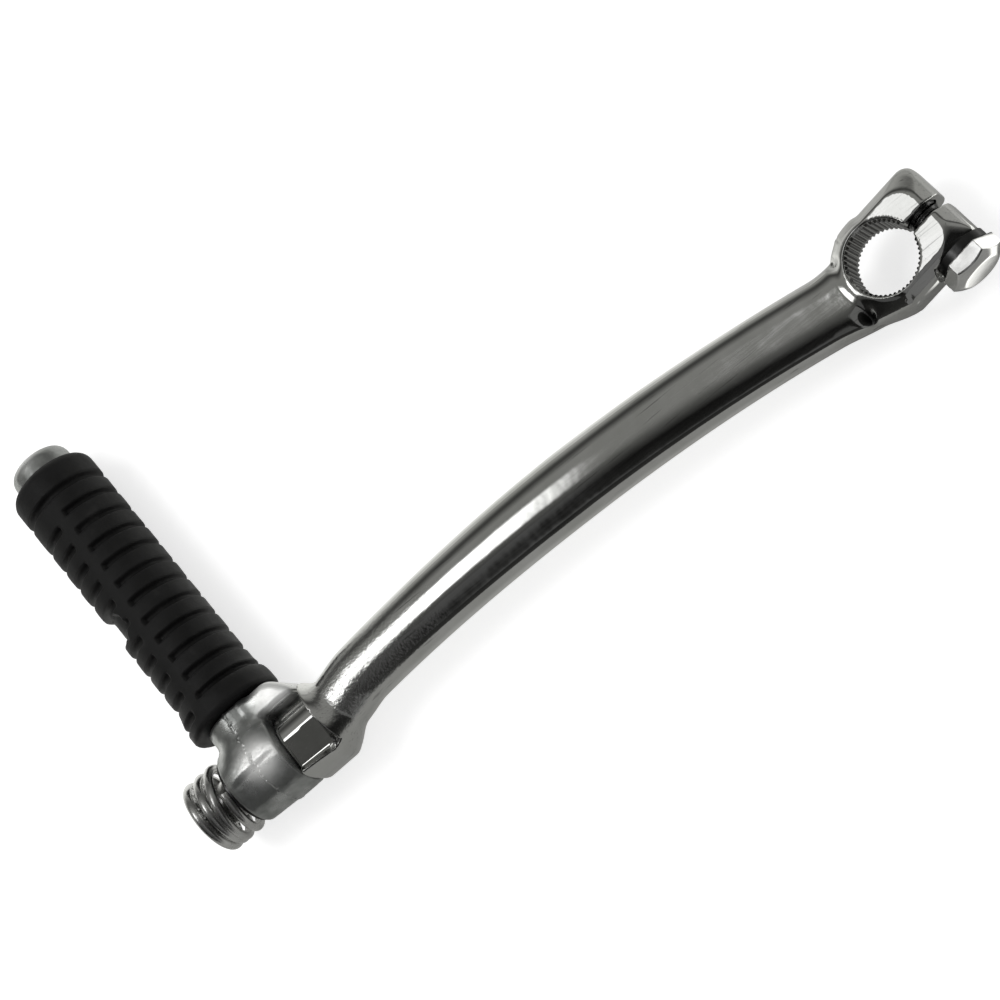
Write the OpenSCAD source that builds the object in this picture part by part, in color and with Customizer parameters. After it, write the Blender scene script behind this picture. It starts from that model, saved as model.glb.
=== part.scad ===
// Kick start lever with a fold-in pedal.
// The origin is on the axis of the shaft bore, half way through the clamp head.
// Z runs along the shaft and points to the rider's side. The arm runs towards -X,
// and the folded pedal points to +Y. All sizes are in millimetres.

/* [Lever arm] */
// Distance from the shaft bore to the face that the pedal turns against
arm_reach = 177.5; // [150:0.5:220]
// Height of the arm's bow over a straight line
arm_bow = 7.9; // [3:0.1:14]
// Distance by which the arm's middle line passes below the bore
head_drop = 3.6; // [0:0.1:5]
// Width of the arm where it leaves the pivot boss
foot_w = 15; // [12:0.1:18]
// Thickness of the arm where it leaves the pivot boss
foot_t = 13.6; // [10:0.1:16]
// Width of the arm at its middle
mid_w = 17; // [13:0.1:20]
// Thickness of the arm at its middle
mid_t = 13; // [10:0.1:16]
// Width of the arm just before the clamp head
neck_w = 16.3; // [13:0.1:19]
// Thickness of the arm just before the clamp head
neck_t = 11; // [9:0.1:12]

/* [Clamp head] */
// Thickness of the clamp head
head_t = 12; // [11.5:0.1:16]
// Width of the clamp head across the slit
head_w = 24.4; // [22:0.1:30]
// Distance from the bore to the split end of the head
head_end = 18.2; // [17.5:0.1:24]
// Angle between the slit and the straight line to the pivot
head_turn = 9; // [0:1:15]
// Radius of the bore over the tips of its serrations
bore_r = 8; // [6.5:0.1:8.2]
// Depth of the serrations
tooth_h = 0.45; // [0.2:0.05:0.6]
// Number of serrations
teeth = 48; // [24:1:60]
// Width of the clamping slit
slit_w = 2.8; // [1.5:0.1:3.4]
// Radius of the flat pad round the bore
pad_r = 9.6; // [9.3:0.1:11]

/* [Pinch bolt] */
// Thread diameter of the pinch bolt
bolt_d = 8; // [6:0.5:8]
// Width of the bolt's hexagon across its flats
bolt_af = 13; // [10:0.5:14]
// Height of the bolt's hexagon
bolt_head_h = 4.8; // [4:0.1:6]
// Distance from the bore's axis to the bolt's axis
bolt_x = 12.35; // [12.3:0.05:12.8]
// Thickness of the spring washer under the hexagon
lock_t = 2.1; // [1:0.1:2.4]

/* [Pivot] */
// Length of the pivot boss in which the pedal's ear travels
boss_len = 10.8; // [8:0.1:14]
// Width of the pivot boss
boss_w = 20.8; // [19:0.1:24]
// Height of the pivot boss
boss_h = 21.6; // [20:0.1:26]
// Lean of the pivot axis away from the straight line to the bore
pivot_lean = 2; // [0:0.5:8]
// Diameter of the pivot pin
pin_d = 10; // [8:0.1:11]
// Depth of the pivot pin in the boss
pin_seat = 15; // [12:0.5:20]
// Diameter of the spring's wire
wire_d = 2.3; // [1.5:0.1:2.8]
// Outer diameter of the spring
spring_d = 19.4; // [18:0.1:20]
// Number of turns of the spring
spring_turns = 1.75; // [1.75:0.25:3]
// Distance between the spring's turns
spring_pitch = 3.6; // [3:0.1:4.2]
// Thickness of the end washer
end_t = 2.4; // [1.5:0.1:3]
// Thickness of the thrust washer between the pedal and the spring
thrust_t = 0.6; // [0.5:0.1:1.5]

/* [Pedal] */
// Length of the pedal's barrel along the pivot
barrel_len = 16.3; // [14:0.1:20]
// Distance from the boss face to the line of the grip
grip_offset = 6.3; // [5:0.1:9]
// Lean of the grip away from square to the pivot
grip_lean = 4; // [0:0.5:6]
// Distance from the pivot axis to the tip of the pedal
pedal_len = 98; // [80:1:120]
// Diameter of the rod inside the rubber
rod_d = 12.4; // [10:0.1:14]
// Diameter of the flange at the tip that keeps the rubber on
tip_d = 15.8; // [14:0.1:18]
// Width of the ear that stops the pedal at both ends of its travel
ear_w = 16; // [12:0.1:16.4]

/* [Rubber grip] */
// Outer diameter of the rubber
grip_d = 22.4; // [20:0.1:25]
// Outer diameter of the collar at the foot of the rubber
collar_d = 24.8; // [22:0.1:27]
// Distance from one groove to the next
groove_pitch = 5.7; // [4.5:0.1:7]
// Number of grooves beside the ribs
groove_count = 11; // [6:1:11]
// Width of a groove at the surface
groove_w = 2.1; // [1:0.1:3]
// Depth of a groove
groove_h = 1.7; // [0.8:0.1:2.2]
// Width of the two smooth ribs that run along the rubber
rib_w = 3.2; // [2:0.1:5]
// Twist of the ribs from the foot of the rubber to its tip, in degrees
rib_twist = 19; // [0:1:30]

/* [Hidden] */
$fn = 64;

// Clearances
press = 0;            // pieces that are pressed together
running = 0.05;       // pin in the pedal's barrel, on the radius
thread_gap = 0.05;    // bolt in its threaded hole, on the radius
bolt_gap = 0.25;      // bolt in its plain hole, on the radius
face_gap = 0.2;       // pedal and boss, face to face
sweep_gap = 0.4;      // ear over the waist of the boss
stop_gap = 0.2;       // ear and the walls that stop it
cut = 1;              // how far a cut runs past a face

// Sizes that follow from the ones above
bolt_r = bolt_d / 2;
pin_r = pin_d / 2;
rod_r = rod_d / 2;
grip_r = grip_d / 2;
wire_r = wire_d / 2;
bore_bevel = 0.6;
spot_r = bolt_af / 2 / cos(30) + 0.3;
spot_y = head_w / 2 - 1.8;
head_round = 3;
head_bevel = 1.6;
shoulder_z = head_t / 6;
ear_in = pin_r + 3;
waist_r = ear_in - sweep_gap;
stop_y = ear_w / 2 + stop_gap;
block_top = 14.6;
block_r = barrel_len - grip_offset - block_top * sin(grip_lean) - 0.2;
rubber_foot = block_top + 0.3;
tip_flange = 3;
tip_dome = 3;
rubber_end = pedal_len - tip_flange - tip_dome;
spring_len = spring_turns * spring_pitch + wire_d;
spring_x = barrel_len + face_gap + thrust_t;
end_x = spring_x + spring_len;
rivet_h = 0.9;
rivet_r = pin_r + 1.4;

// The arm's middle line is one arc, and it runs straight through the pivot boss.
chord = sqrt(pow(arm_reach, 2) + pow(head_drop, 2));
bow_r = (pow(chord, 2) / 4 + pow(arm_bow, 2)) / (2 * arm_bow);
chord_turn = -atan(head_drop / arm_reach);
bow_x = -arm_reach / 2 + sin(-chord_turn) * -(bow_r - arm_bow);
bow_y = -head_drop / 2 - cos(chord_turn) * (bow_r - arm_bow);
blend_len = 13;
flare_len = 15;

function ease(t) = let (u = min(1, max(0, t))) u * u * (3 - 2 * u);
function mix(a, b, t) = a + (b - a) * t;
function arc_y(x) = bow_y + sqrt(pow(bow_r, 2) - pow(x - bow_x, 2));
function flare(s) = pow(min(1, max(0, (s - neck_s) / flare_len)), 1.7);
// Middle line at a distance s from the pivot face
function middle(s) = let (
        x = s - arm_reach,
        y = mix(tan(pivot_lean) * s, arc_y(x), ease((s - boss_len) / blend_len))
    ) [x, mix(y, -0.2, flare(s))];

// Sections of the arm: distance, half width, half thickness, height of the centre, squareness
root_s = arm_reach - 3;
neck_s = root_s - flare_len;
neck_z = (neck_t - head_t) / 2 + 0.3;
sections = [
    [0, boss_w / 2, boss_h / 2, 0, 3.2],
    [boss_len - 2, boss_w / 2, boss_h / 2, 0, 3.2],
    [boss_len + 5, foot_w / 2, foot_t / 2, 0, 2.4],
    [arm_reach * 0.52, mid_w / 2, mid_t / 2, 0, 2.3],
    [neck_s, neck_w / 2, neck_t / 2, neck_z, 2.7],
    [root_s, head_w / 2 - 0.9, neck_t / 2, neck_z, 3]
];
function slot_of(s, i = 0) =
    i >= len(sections) - 2 || s <= sections[i + 1][0] ? i : slot_of(s, i + 1);
function section(s) = let (
        i = slot_of(s),
        a = sections[i],
        b = sections[i + 1],
        t = i == len(sections) - 2 ? flare(s) : ease((s - a[0]) / (b[0] - a[0]))
    ) [for (k = [1:4]) mix(a[k], b[k], t)];
function bend(v, n) = sign(v) * pow(abs(v), 2 / n);
function ring(s, shrink = 1) = let (
        q = section(s),
        c = middle(s),
        d = middle(s + 0.5) - middle(s - 0.5),
        u = d / norm(d)
    ) [for (j = [0:ring_n - 1]) let (
            a = -360 * j / ring_n,
            y = shrink * q[0] * bend(cos(a), q[3]),
            z = q[2] + shrink * q[1] * bend(sin(a), q[3])
        ) [c[0] - u[1] * y, c[1] + u[0] * y, z]];
ring_n = 32;
ring_step = 6.5;
edge_round = 0.9;
arm_rings = concat(
    [ring(0, 0.92), ring(0.3, 0.965), ring(edge_round, 1)],
    [for (s = [boss_len / 3, boss_len - 3, boss_len - 2]) ring(s)],
    [for (s = [boss_len - 1.2:1:boss_len + 5]) ring(s)],
    [for (s = [boss_len + 6.5:2.5:boss_len + 14]) ring(s)],
    [for (s = [boss_len + 18:ring_step:neck_s - 1]) ring(s)],
    [ring(neck_s)],
    [for (k = [1:8]) ring(mix(neck_s, root_s, k / 8))]
);

// A closed skin over rings that have as many points and run clockwise, seen from the last one
module skin(rings) {
    n = len(rings[0]);
    last = len(rings) - 1;
    sides = [for (i = [0:last - 1], j = [0:n - 1])
        [i * n + j, i * n + (j + 1) % n, (i + 1) * n + (j + 1) % n, (i + 1) * n + j]];
    polyhedron(
        points = [for (r = rings) each r],
        faces = concat(
            sides,
            [[for (j = [n - 1:-1:0]) j]],
            [[for (j = [0:n - 1]) last * n + j]]
        )
    );
}

// Frames of the three assemblies
module in_head() rotate([0, 0, head_turn]) children();
module at_pivot() translate([-arm_reach, 0, 0]) rotate([0, 0, pivot_lean]) children();
module at_grip() at_pivot() translate([-grip_offset, 0, 0]) rotate([0, 0, grip_lean])
    rotate([-90, 0, 0]) children();
// A round bar along the pivot axis, from one distance past the boss face to another
module bar(from, to, r) translate([-to, 0, 0]) rotate([0, 90, 0]) cylinder(h = to - from, r = r);
// A round bar along the bolt, from one place across the slit to another
module cross_bar(from, to, r) translate([bolt_x, from, 0]) rotate([-90, 0, 0])
    cylinder(h = to - from, r = r);

// Lever arm: one forging, from the clamp head to the pivot boss
module head_outline(inset) {
    hull() {
        circle(r = head_w / 2 - 0.2 - inset, $fn = 48);
        for (side = [-1, 1])
            translate([head_end - head_round, side * (head_w / 2 - head_round)])
                circle(r = head_round - inset, $fn = 32);
    }
}

module pad_outline() {
    circle(r = pad_r, $fn = 48);
    for (side = [-1, 1])
        translate([head_end - 6.5, side * (pad_r - 3.8)]) circle(r = 3, $fn = 32);
}

module head_body() {
    hull() {
        translate([0, 0, -head_t / 2]) linear_extrude(0.01) head_outline(head_bevel);
        translate([0, 0, -head_t / 2 + head_bevel])
            linear_extrude(head_t / 2 - head_bevel + shoulder_z) head_outline(0);
        translate([0, 0, head_t / 2 - 0.01]) linear_extrude(0.01) pad_outline();
    }
}

module serrations() {
    half = PI * bore_r / teeth * 0.58;
    for (i = [0:teeth - 1]) rotate((i + 0.5) * 360 / teeth)
        linear_extrude(head_t + 2 * cut, center = true) polygon([
            [bore_r - tooth_h, -half * 1.9],
            [bore_r + tooth_h, -half * 0.1],
            [bore_r + tooth_h, half * 0.1],
            [bore_r - tooth_h, half * 1.9]
        ]);
}

module shaft_bore() {
    translate([0, 0, -head_t / 2 - cut]) cylinder(h = head_t + 2 * cut, r = bore_r);
    serrations();
    for (up = [0, 1]) mirror([0, 0, up]) translate([0, 0, head_t / 2 - bore_bevel])
        cylinder(h = bore_bevel + 0.3, r1 = bore_r, r2 = bore_r + bore_bevel + 0.3);
}

// The room that the ear sweeps out of the boss, between its two stops
module ear_room() {
    reach = boss_h;
    translate([-cut, 0, 0]) rotate([90, 0, 90]) linear_extrude(boss_len + cut) {
        difference() {
            translate([0, 0]) square(reach);
            circle(r = waist_r);
        }
        translate([-stop_y, waist_r]) square([stop_y, reach]);
        translate([waist_r, -stop_y]) square([reach, stop_y]);
    }
}

module lever_arm() color("lightsteelblue") {
    difference() {
        union() {
            in_head() head_body();
            skin(arm_rings);
        }
        shaft_bore();
        in_head() {
            translate([0, -slit_w / 2, -head_t]) cube([head_end + cut, slit_w, 2 * head_t]);
            cross_bar(-head_w, 0, bolt_r + bolt_gap);
            cross_bar(-cut, bolt_tip + 0.6, bolt_r + thread_gap);
            cross_bar(-head_w, -spot_y, spot_r);
        }
        at_pivot() {
            ear_room();
            bar(-pin_seat, cut, pin_r + press);
        }
    }
}

// Pinch bolt across the slit, threaded into the far jaw
bolt_tip = head_w / 2 - 2.5;
module pinch_bolt() color("gainsboro") in_head() {
    under = -spot_y - lock_t;
    difference() {
        translate([bolt_x, under, 0]) rotate([90, 0, 0])
            cylinder(h = bolt_head_h, r = bolt_af / 2 / cos(30), $fn = 6);
        translate([bolt_x, under - bolt_head_h, 0]) rotate([90, 0, 0]) difference() {
            translate([0, 0, -1.2]) cylinder(h = 2, r = bolt_af);
            translate([0, 0, -1.3]) cylinder(h = 3, r1 = bolt_af * 0.64, r2 = bolt_af * 0.25);
        }
    }
    cross_bar(under, bolt_tip, bolt_r);
}

// Split spring washer under the hexagon
module lock_washer() color("silver") in_head() {
    difference() {
        cross_bar(-spot_y - lock_t, -spot_y, bolt_af / 2);
        cross_bar(-head_w, head_w, bolt_r + 0.15);
        translate([bolt_x, -spot_y - lock_t / 2, 0]) rotate([0, 35, 0]) rotate([0, 0, 25])
            translate([bolt_af / 2, 0, 0]) cube([bolt_af, 0.8, bolt_af / 2], center = true);
    }
}

// Pivot pin, pressed into the boss and riveted over the end washer
module pivot_pin() color("darkgray") at_pivot() {
    bar(-pin_seat, end_x + end_t, pin_r);
    translate([-end_x - end_t, 0, 0]) rotate([0, -90, 0])
        cylinder(h = rivet_h, r1 = rivet_r, r2 = pin_r - 0.6);
}

// Pedal: one casting with its barrel, the ear that stops it and the rod
module ear() {
    side = [[-2, ear_in], [boss_len - 0.6, ear_in], [boss_len - 0.6, ear_in + 1.4],
            [boss_len - 5.4, block_top], [-2, block_top]];
    hull() {
        linear_extrude(ear_w - 2.4, center = true) polygon(side);
        linear_extrude(ear_w, center = true) offset(delta = -0.9) polygon(side);
    }
}

module pedal_block() difference() {
    hull() {
        bar(face_gap, barrel_len + face_gap - 1.8, boss_w / 2);
        bar(barrel_len + face_gap - 0.1, barrel_len + face_gap, spring_d / 2);
        translate([-grip_offset, 0, 0]) rotate([0, 0, grip_lean]) rotate([-90, 0, 0])
            translate([0, 0, block_top - 5]) cylinder(h = 5, r = block_r);
    }
    translate([-face_gap, -boss_h, -boss_h]) cube(2 * boss_h);
}

module rod() {
    rotate_extrude() polygon(concat(
        [[0, ear_in + 1], [rod_r, ear_in + 1], [rod_r, rubber_end], [tip_d / 2 - 0.6, rubber_end],
         [tip_d / 2, rubber_end + 0.6], [tip_d / 2, rubber_end + tip_flange]],
        [for (a = [15:15:75]) [tip_d / 2 * mix(1, 0.45, 1 - cos(a)),
            rubber_end + tip_flange + tip_dome * sin(a)]],
        [[0, pedal_len]]
    ));
}

module pedal_casting() color("lightgray") {
    difference() {
        union() {
            at_pivot() {
                pedal_block();
                ear();
            }
            at_grip() rod();
        }
        at_pivot() bar(-boss_len - cut, barrel_len + face_gap + cut, pin_r + running);
    }
}

// Rubber grip: a sleeve with a flared collar, two smooth ribs and rows of grooves
grip_soft = 2.6;
sleeve_r = rod_r + 0.05;
module sleeve() {
    flare = 9;
    rotate_extrude() polygon(concat(
        [[sleeve_r, rubber_foot], [collar_d / 2 - 1, rubber_foot],
         [collar_d / 2, rubber_foot + 1], [collar_d / 2, rubber_foot + 3]],
        [for (k = [1:3]) [mix(collar_d / 2, grip_r, ease(k / 3)), rubber_foot + 3 + flare * k / 3 - 3]],
        [for (a = [0:22.5:90])
            [grip_r - grip_soft + grip_soft * cos(a), rubber_end - grip_soft + grip_soft * sin(a)]],
        [[sleeve_r, rubber_end]]
    ));
}

ring_groove = rubber_end - 8.2;
module groove(turn) {
    cross = [[grip_r + cut, groove_w / 2 + 0.3], [grip_r, groove_w / 2],
             [grip_r - groove_h, groove_w / 4], [grip_r - groove_h, -groove_w / 4],
             [grip_r, -groove_w / 2], [grip_r + cut, -groove_w / 2 - 0.3]];
    rotate_extrude(angle = turn) polygon(cross);
}

chip_at = 49;
chip_r = 7;
module rubber_grip() color("#1c1c1c") at_grip() {
    rib_half = rib_w / 2 / grip_r * 180 / PI;
    difference() {
        sleeve();
        translate([0, 0, ring_groove]) groove(360);
        for (i = [1:groove_count]) {
            s = ring_groove - i * groove_pitch;
            turn = mix(rib_twist, 0, (s - rubber_foot) / (rubber_end - rubber_foot)) - 4;
            for (side = [0, 180])
                translate([0, 0, s]) rotate([0, 0, -90 - turn + side + rib_half])
                    groove(180 - 2 * rib_half);
        }
        rotate([0, 0, 202]) translate([grip_r + chip_r - 1.7, 0, chip_at]) sphere(r = chip_r);
    }
}

// Thrust washer between the pedal and the spring
module thrust_washer() color("gray") at_pivot() difference() {
    bar(barrel_len + face_gap, spring_x, spring_d / 2 - 0.9);
    bar(0, end_x, pin_r + 0.1);
}

// Coil spring that pushes the pedal against the boss
wire_n = 12;
turn_n = 24;
module coil_spring() color("silver") at_pivot() {
    mean_r = spring_d / 2 - wire_r;
    steps = ceil(spring_turns * turn_n);
    slope = atan(spring_pitch / (2 * PI * mean_r));
    skin([for (i = [0:steps]) let (
            a = 360 * spring_turns * i / steps + 200,
            x = -end_x + wire_r + spring_pitch * spring_turns * i / steps
        ) [for (j = [0:wire_n - 1]) let (
                b = 360 * j / wire_n,
                r = mean_r + wire_r * cos(b),
                along = wire_r * sin(b)
            ) [x + along * cos(slope),
               r * cos(a) + along * sin(slope) * sin(a),
               r * sin(a) - along * sin(slope) * cos(a)]]]);
}

// End washer with a rounded rim, held by the riveted end of the pin
module end_washer() color("silver") at_pivot() translate([-end_x, 0, 0]) rotate([0, -90, 0]) {
    soft = end_t * 0.45;
    rim = spring_d / 2 - 0.1;
    rotate_extrude() polygon(concat(
        [[pin_r + 0.05, 0]],
        [for (a = [-90:22.5:0]) [rim - soft + soft * cos(a), soft + soft * sin(a)]],
        [for (a = [0:22.5:90]) [rim - soft + soft * cos(a), end_t - soft + soft * sin(a)]],
        [[pin_r + 0.05, end_t]]
    ));
}

lever_arm();
pinch_bolt();
lock_washer();
pivot_pin();
pedal_casting();
rubber_grip();
thrust_washer();
coil_spring();
end_washer();
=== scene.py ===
# %% [markdown]
# This lesson dresses a kick start lever: a chromed arm with a split clamp head at one end and a
# fold-in pedal with a rubber grip at the other. The solid model fixes every size, so the first step
# loads it. Sizes are written in millimetres, and MM turns them into metres, which is Blender's
# unit.

import math

import bmesh
import bpy
import numpy as np
from mathutils import Matrix, Vector


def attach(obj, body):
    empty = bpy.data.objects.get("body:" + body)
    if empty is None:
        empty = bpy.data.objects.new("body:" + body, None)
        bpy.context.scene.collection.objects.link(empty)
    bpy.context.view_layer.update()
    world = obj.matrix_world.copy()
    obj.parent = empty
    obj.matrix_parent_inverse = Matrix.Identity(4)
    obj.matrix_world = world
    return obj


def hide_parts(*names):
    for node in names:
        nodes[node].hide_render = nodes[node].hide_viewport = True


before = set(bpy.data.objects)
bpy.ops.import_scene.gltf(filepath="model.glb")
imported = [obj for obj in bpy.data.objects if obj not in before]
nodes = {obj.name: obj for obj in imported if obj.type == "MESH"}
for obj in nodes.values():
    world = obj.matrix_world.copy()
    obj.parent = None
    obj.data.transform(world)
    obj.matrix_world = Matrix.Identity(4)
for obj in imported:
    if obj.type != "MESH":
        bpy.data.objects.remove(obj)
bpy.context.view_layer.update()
MM = 0.001


def add_object(name, data):
    thing = bpy.data.objects.new(name, data)
    bpy.context.scene.collection.objects.link(thing)
    return thing


print("solids:", sorted(nodes))

# %% [markdown]
# The camera was solved from the photograph: the round bore, the bolt and the arm's length give
# the distance and the tilt. A long lens keeps the slight perspective of the original.

# %% Camera at the photograph's viewing angle
LENS, SENSOR_WIDTH, NEAREST = 115.2, 36, 10
CAMERA_PLACE = (80.9, -203.0, 672.6)
CAMERA_RIGHT = (0.7475, -0.5444, -0.3807)
CAMERA_BACK = (0.2521, -0.2977, 0.9208)


def make_camera():
    data = bpy.data.cameras.new("photo_camera")
    data.lens, data.sensor_width, data.clip_start = LENS, SENSOR_WIDTH, NEAREST * MM
    camera = add_object("photo_camera", data)
    back = Vector(CAMERA_BACK).normalized()
    up = back.cross(Vector(CAMERA_RIGHT).normalized()).normalized()
    turn = Matrix((up.cross(back), up, back)).transposed().to_4x4()
    camera.matrix_world = Matrix.Translation(Vector(CAMERA_PLACE) * MM) @ turn
    return camera


bpy.context.scene.camera = make_camera()
print("camera at", [round(v, 3) for v in bpy.context.scene.camera.location])

# %% [markdown]
# Every finish is a tree of nodes. These helpers add a node with its settings and its inputs. An
# input is a plain value, the socket of another node, or a field, which the next step explains.

# %% Nodes and links
def set_inputs(tree, node, inputs):
    for name, value in inputs.items():
        if isinstance(value, Field):
            value = value.socket
        if isinstance(value, bpy.types.NodeSocket):
            tree.links.new(value, node.inputs[name])
        else:
            node.inputs[name].default_value = value


def add_node(tree, kind, inputs=None, **settings):
    node = tree.nodes.new(kind)
    for name, value in settings.items():
        setattr(node, name, value)
    set_inputs(tree, node, inputs or {})
    return node


print("node helpers ready")

# %% [markdown]
# A field is a number that differs from point to point, such as a noise or a distance. This small
# class lets fields be added and multiplied like plain numbers, and every sum adds a Math node. A
# step rises softly from 0 to 1 between two values, and a clamp does it in a straight line.

# %% Fields
class Field:
    def __init__(self, tree, socket):
        self.tree, self.socket = tree, socket

    def math(self, operation, *others):
        node = add_node(self.tree, "ShaderNodeMath", dict(enumerate((self, *others))),
                        operation=operation)
        return Field(self.tree, node.outputs[0])

    def __add__(self, other):
        return self.math("ADD", other)

    def __sub__(self, other):
        return self.math("SUBTRACT", other)

    def __mul__(self, other):
        return self.math("MULTIPLY", other)

    def __truediv__(self, other):
        return self.math("DIVIDE", other)

    def flip(self):
        return self * -1.0 + 1.0

    def remap(self, low, high, start=0.0, end=1.0, **settings):
        node = add_node(self.tree, "ShaderNodeMapRange", {
            "Value": self, "From Min": low, "From Max": high, "To Min": start, "To Max": end},
            **settings)
        return Field(self.tree, node.outputs["Result"])

    def step(self, low, high):
        return self.remap(low, high, interpolation_type="SMOOTHSTEP")

    def clamp(self, low, high):
        return ((self - low) / (high - low)).math("MAXIMUM", 0.0).math("MINIMUM", 1.0)


def axes(tree, vector):
    parts = add_node(tree, "ShaderNodeSeparateXYZ", {"Vector": vector})
    return [Field(tree, axis) for axis in parts.outputs]


def vector_of(tree, x, y, z):
    return add_node(tree, "ShaderNodeCombineXYZ", {0: x, 1: y, 2: z}).outputs["Vector"]


def distance(x, y, at_x=0.0, at_y=0.0):
    across, along = x - at_x, y - at_y
    return (across * across + along * along).math("SQRT")


print("fields ready")

# %% [markdown]
# Metal and rubber are told apart by small things: a noise that mottles the colour, a finer one
# that dents the surface through a bump. Patterns read Object coordinates, so they keep their
# place when the pedal folds.

# %% Parts of a finish
def new_finish(name):
    finish = bpy.data.materials.new(name)
    finish.use_nodes = True
    return finish, finish.node_tree, finish.node_tree.nodes["Principled BSDF"]


def object_place(tree):
    return add_node(tree, "ShaderNodeTexCoord").outputs["Object"]


def axes_in_mm(tree):
    return [axis * (1 / MM) for axis in axes(tree, object_place(tree))]


def noise(tree, place, scale, detail):
    node = add_node(tree, "ShaderNodeTexNoise", {"Vector": place, "Scale": scale, "Detail": detail})
    return Field(tree, node.outputs["Fac"])


def ramp(tree, factor, stops):
    node = add_node(tree, "ShaderNodeValToRGB", {"Fac": factor})
    bands = node.color_ramp.elements
    while len(bands) < len(stops):
        bands.new(0.5)
    for band, (place, colour) in zip(bands, stops):
        band.position, band.color = place, (*colour, 1)
    return node.outputs["Color"]


def bump(tree, height, strength, depth, under=None):
    node = add_node(tree, "ShaderNodeBump", {"Height": height, "Strength": strength,
                                             "Distance": depth * MM})
    if under:
        set_inputs(tree, node, {"Normal": under})
    return node.outputs["Normal"]


def grey(level):
    return (level, level, level)


print("finish helpers ready")

# %% [markdown]
# Chrome plate over a rough forging mirrors its surroundings. It is very smooth on the polished arm,
# but the forging under it leaves shallow waves, a coarse skin near the pivot and streaks from the
# polishing belt along the arm. The bore's wall is painted darker below its rim, which is painted
# shade inside the bore, and a spot in the pit beside the head is painted darker.

# %% Chrome plate
HAZE, WAVES, SKIN, STREAKS = (90, 6), (160, 2), (1400, 4), (4, 5)
BELT_STRETCH, BELT_MARKS, POLISH = (14, 420, 420), (0.62, 0.7, 1.0, 0.65), (0.35, 0.75, 0.05, 0.13)
COARSE_SKIN, POCKET_EDGE, COARSE_DULL = (-125, -160), (-166, -162), 0.12
HEAD_SKIN, WAVE_BUMP, SKIN_BUMP = (-22, -4, 0.0, 0.12), (0.25, 0.12), (0.7, 0.12)
# Radii and heights of the painted shade in the bore, and its darkest level.
BORE_EDGE, RIM_EDGE, BORE_SHADE = (8.35, 8.7), (4.7, 5.2), 0.3
# Place, soft edge and darkest level of the darker spot in the pit beside the head.
DARK_PIT, PIT_EDGE, PIT_DARK_LEVEL = (-10.2, -7.9), (0.9, 2.3), 0.15
CHROME_DARK, CHROME_LIGHT = (0.56, 0.565, 0.545), (0.66, 0.66, 0.65)


def make_chrome():
    finish, tree, shader = new_finish("chrome_plate")
    x, y, z = axes_in_mm(tree)
    place = object_place(tree)
    belt = add_node(tree, "ShaderNodeMapping", {"Vector": place, "Scale": BELT_STRETCH})
    streaks = noise(tree, belt.outputs["Vector"], *STREAKS)
    coarse = x.remap(*COARSE_SKIN) * x.remap(*POCKET_EDGE)
    # Painted shade: the colour is darker on the bore's wall, up to just below its rim.
    painted_bore_shade = distance(x, y).remap(*BORE_EDGE, BORE_SHADE, 1.0).math("MAXIMUM", z.remap(*RIM_EDGE))
    # A spot in the pit beside the head is painted darker.
    pit_darkening = distance(x, y, *DARK_PIT).step(*PIT_EDGE) * (1 - PIT_DARK_LEVEL) + PIT_DARK_LEVEL
    level = painted_bore_shade * streaks.remap(*BELT_MARKS) * pit_darkening
    tint = ramp(tree, noise(tree, place, *HAZE), [(0.3, CHROME_DARK), (0.7, CHROME_LIGHT)])
    shade = add_node(tree, "ShaderNodeVectorMath", {0: tint, "Scale": level}, operation="SCALE")
    skin = noise(tree, place, *SKIN) * (x.remap(*HEAD_SKIN) + coarse)
    wavy = bump(tree, noise(tree, place, *WAVES), *WAVE_BUMP)
    set_inputs(tree, shader, {
        "Base Color": shade.outputs["Vector"], "Metallic": 1.0,
        "Roughness": streaks.remap(*POLISH) + coarse * COARSE_DULL,
        "Normal": bump(tree, skin, *SKIN_BUMP, wavy)})
    return finish


chrome = make_chrome()
print("finish:", chrome.name)

# %% [markdown]
# The pedal is a casting with a zinc plating: duller than the chrome and mottled. Its colour is
# paler and less metallic in three soft spots on the block, on the ear and at the tip, which are
# painted highlights. The spring, pin and end washer have a brighter, smoother plating and the bolt
# the brightest. The two thin washers are painted near black, as painted shade in the gaps round
# them, and the bolt's shank is painted dark inside the head, as painted shade in the slit and the
# hole. One function makes all four, with the noise that mottles the colour also setting how dull it
# is.

# %% Zinc casting and steel platings, with painted highlights and painted shade
# Painted highlights on the casting: their places, soft edge, colour, share and metalness.
HIGHLIGHT_SPOTS = ((-183, 0), (-172, 11), (-194, 100))
HIGHLIGHT_EDGE, HIGHLIGHT_TINT, HIGHLIGHT_SHARE = (2, 8), (0.95, 0.95, 0.93), 0.75
METAL, HIGHLIGHT_METAL = 0.88, 0.38
# Painted shade on the bolt's shank inside the head: where it starts and how dark it is.
SHANK_SHADE_EDGE, SHANK_SHADE_LEVEL = (-10.5, -9.5), 0.12


def make_plating(name, dark, light, smooth, rough, grain, depth):
    finish, tree, shader = new_finish(name)
    place = object_place(tree)
    mottle = noise(tree, place, scale=260, detail=8)
    set_inputs(tree, shader, {
        "Base Color": ramp(tree, mottle, [(0.3, dark), (0.7, light)]), "Metallic": 1.0,
        "Roughness": mottle.remap(0.3, 0.7, rough, smooth),
        "Normal": bump(tree, noise(tree, place, grain, detail=6), 0.6, depth)})
    return finish


def paint_over(finish, share, colour):
    tree = finish.node_tree
    mixed = add_node(tree, "ShaderNodeMix", {
        "Factor": share, 6: tree.nodes["Color Ramp"].outputs["Color"], 7: (*colour, 1)},
        data_type="RGBA")
    set_inputs(tree, tree.nodes["Principled BSDF"], {"Base Color": mixed.outputs[2]})


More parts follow.
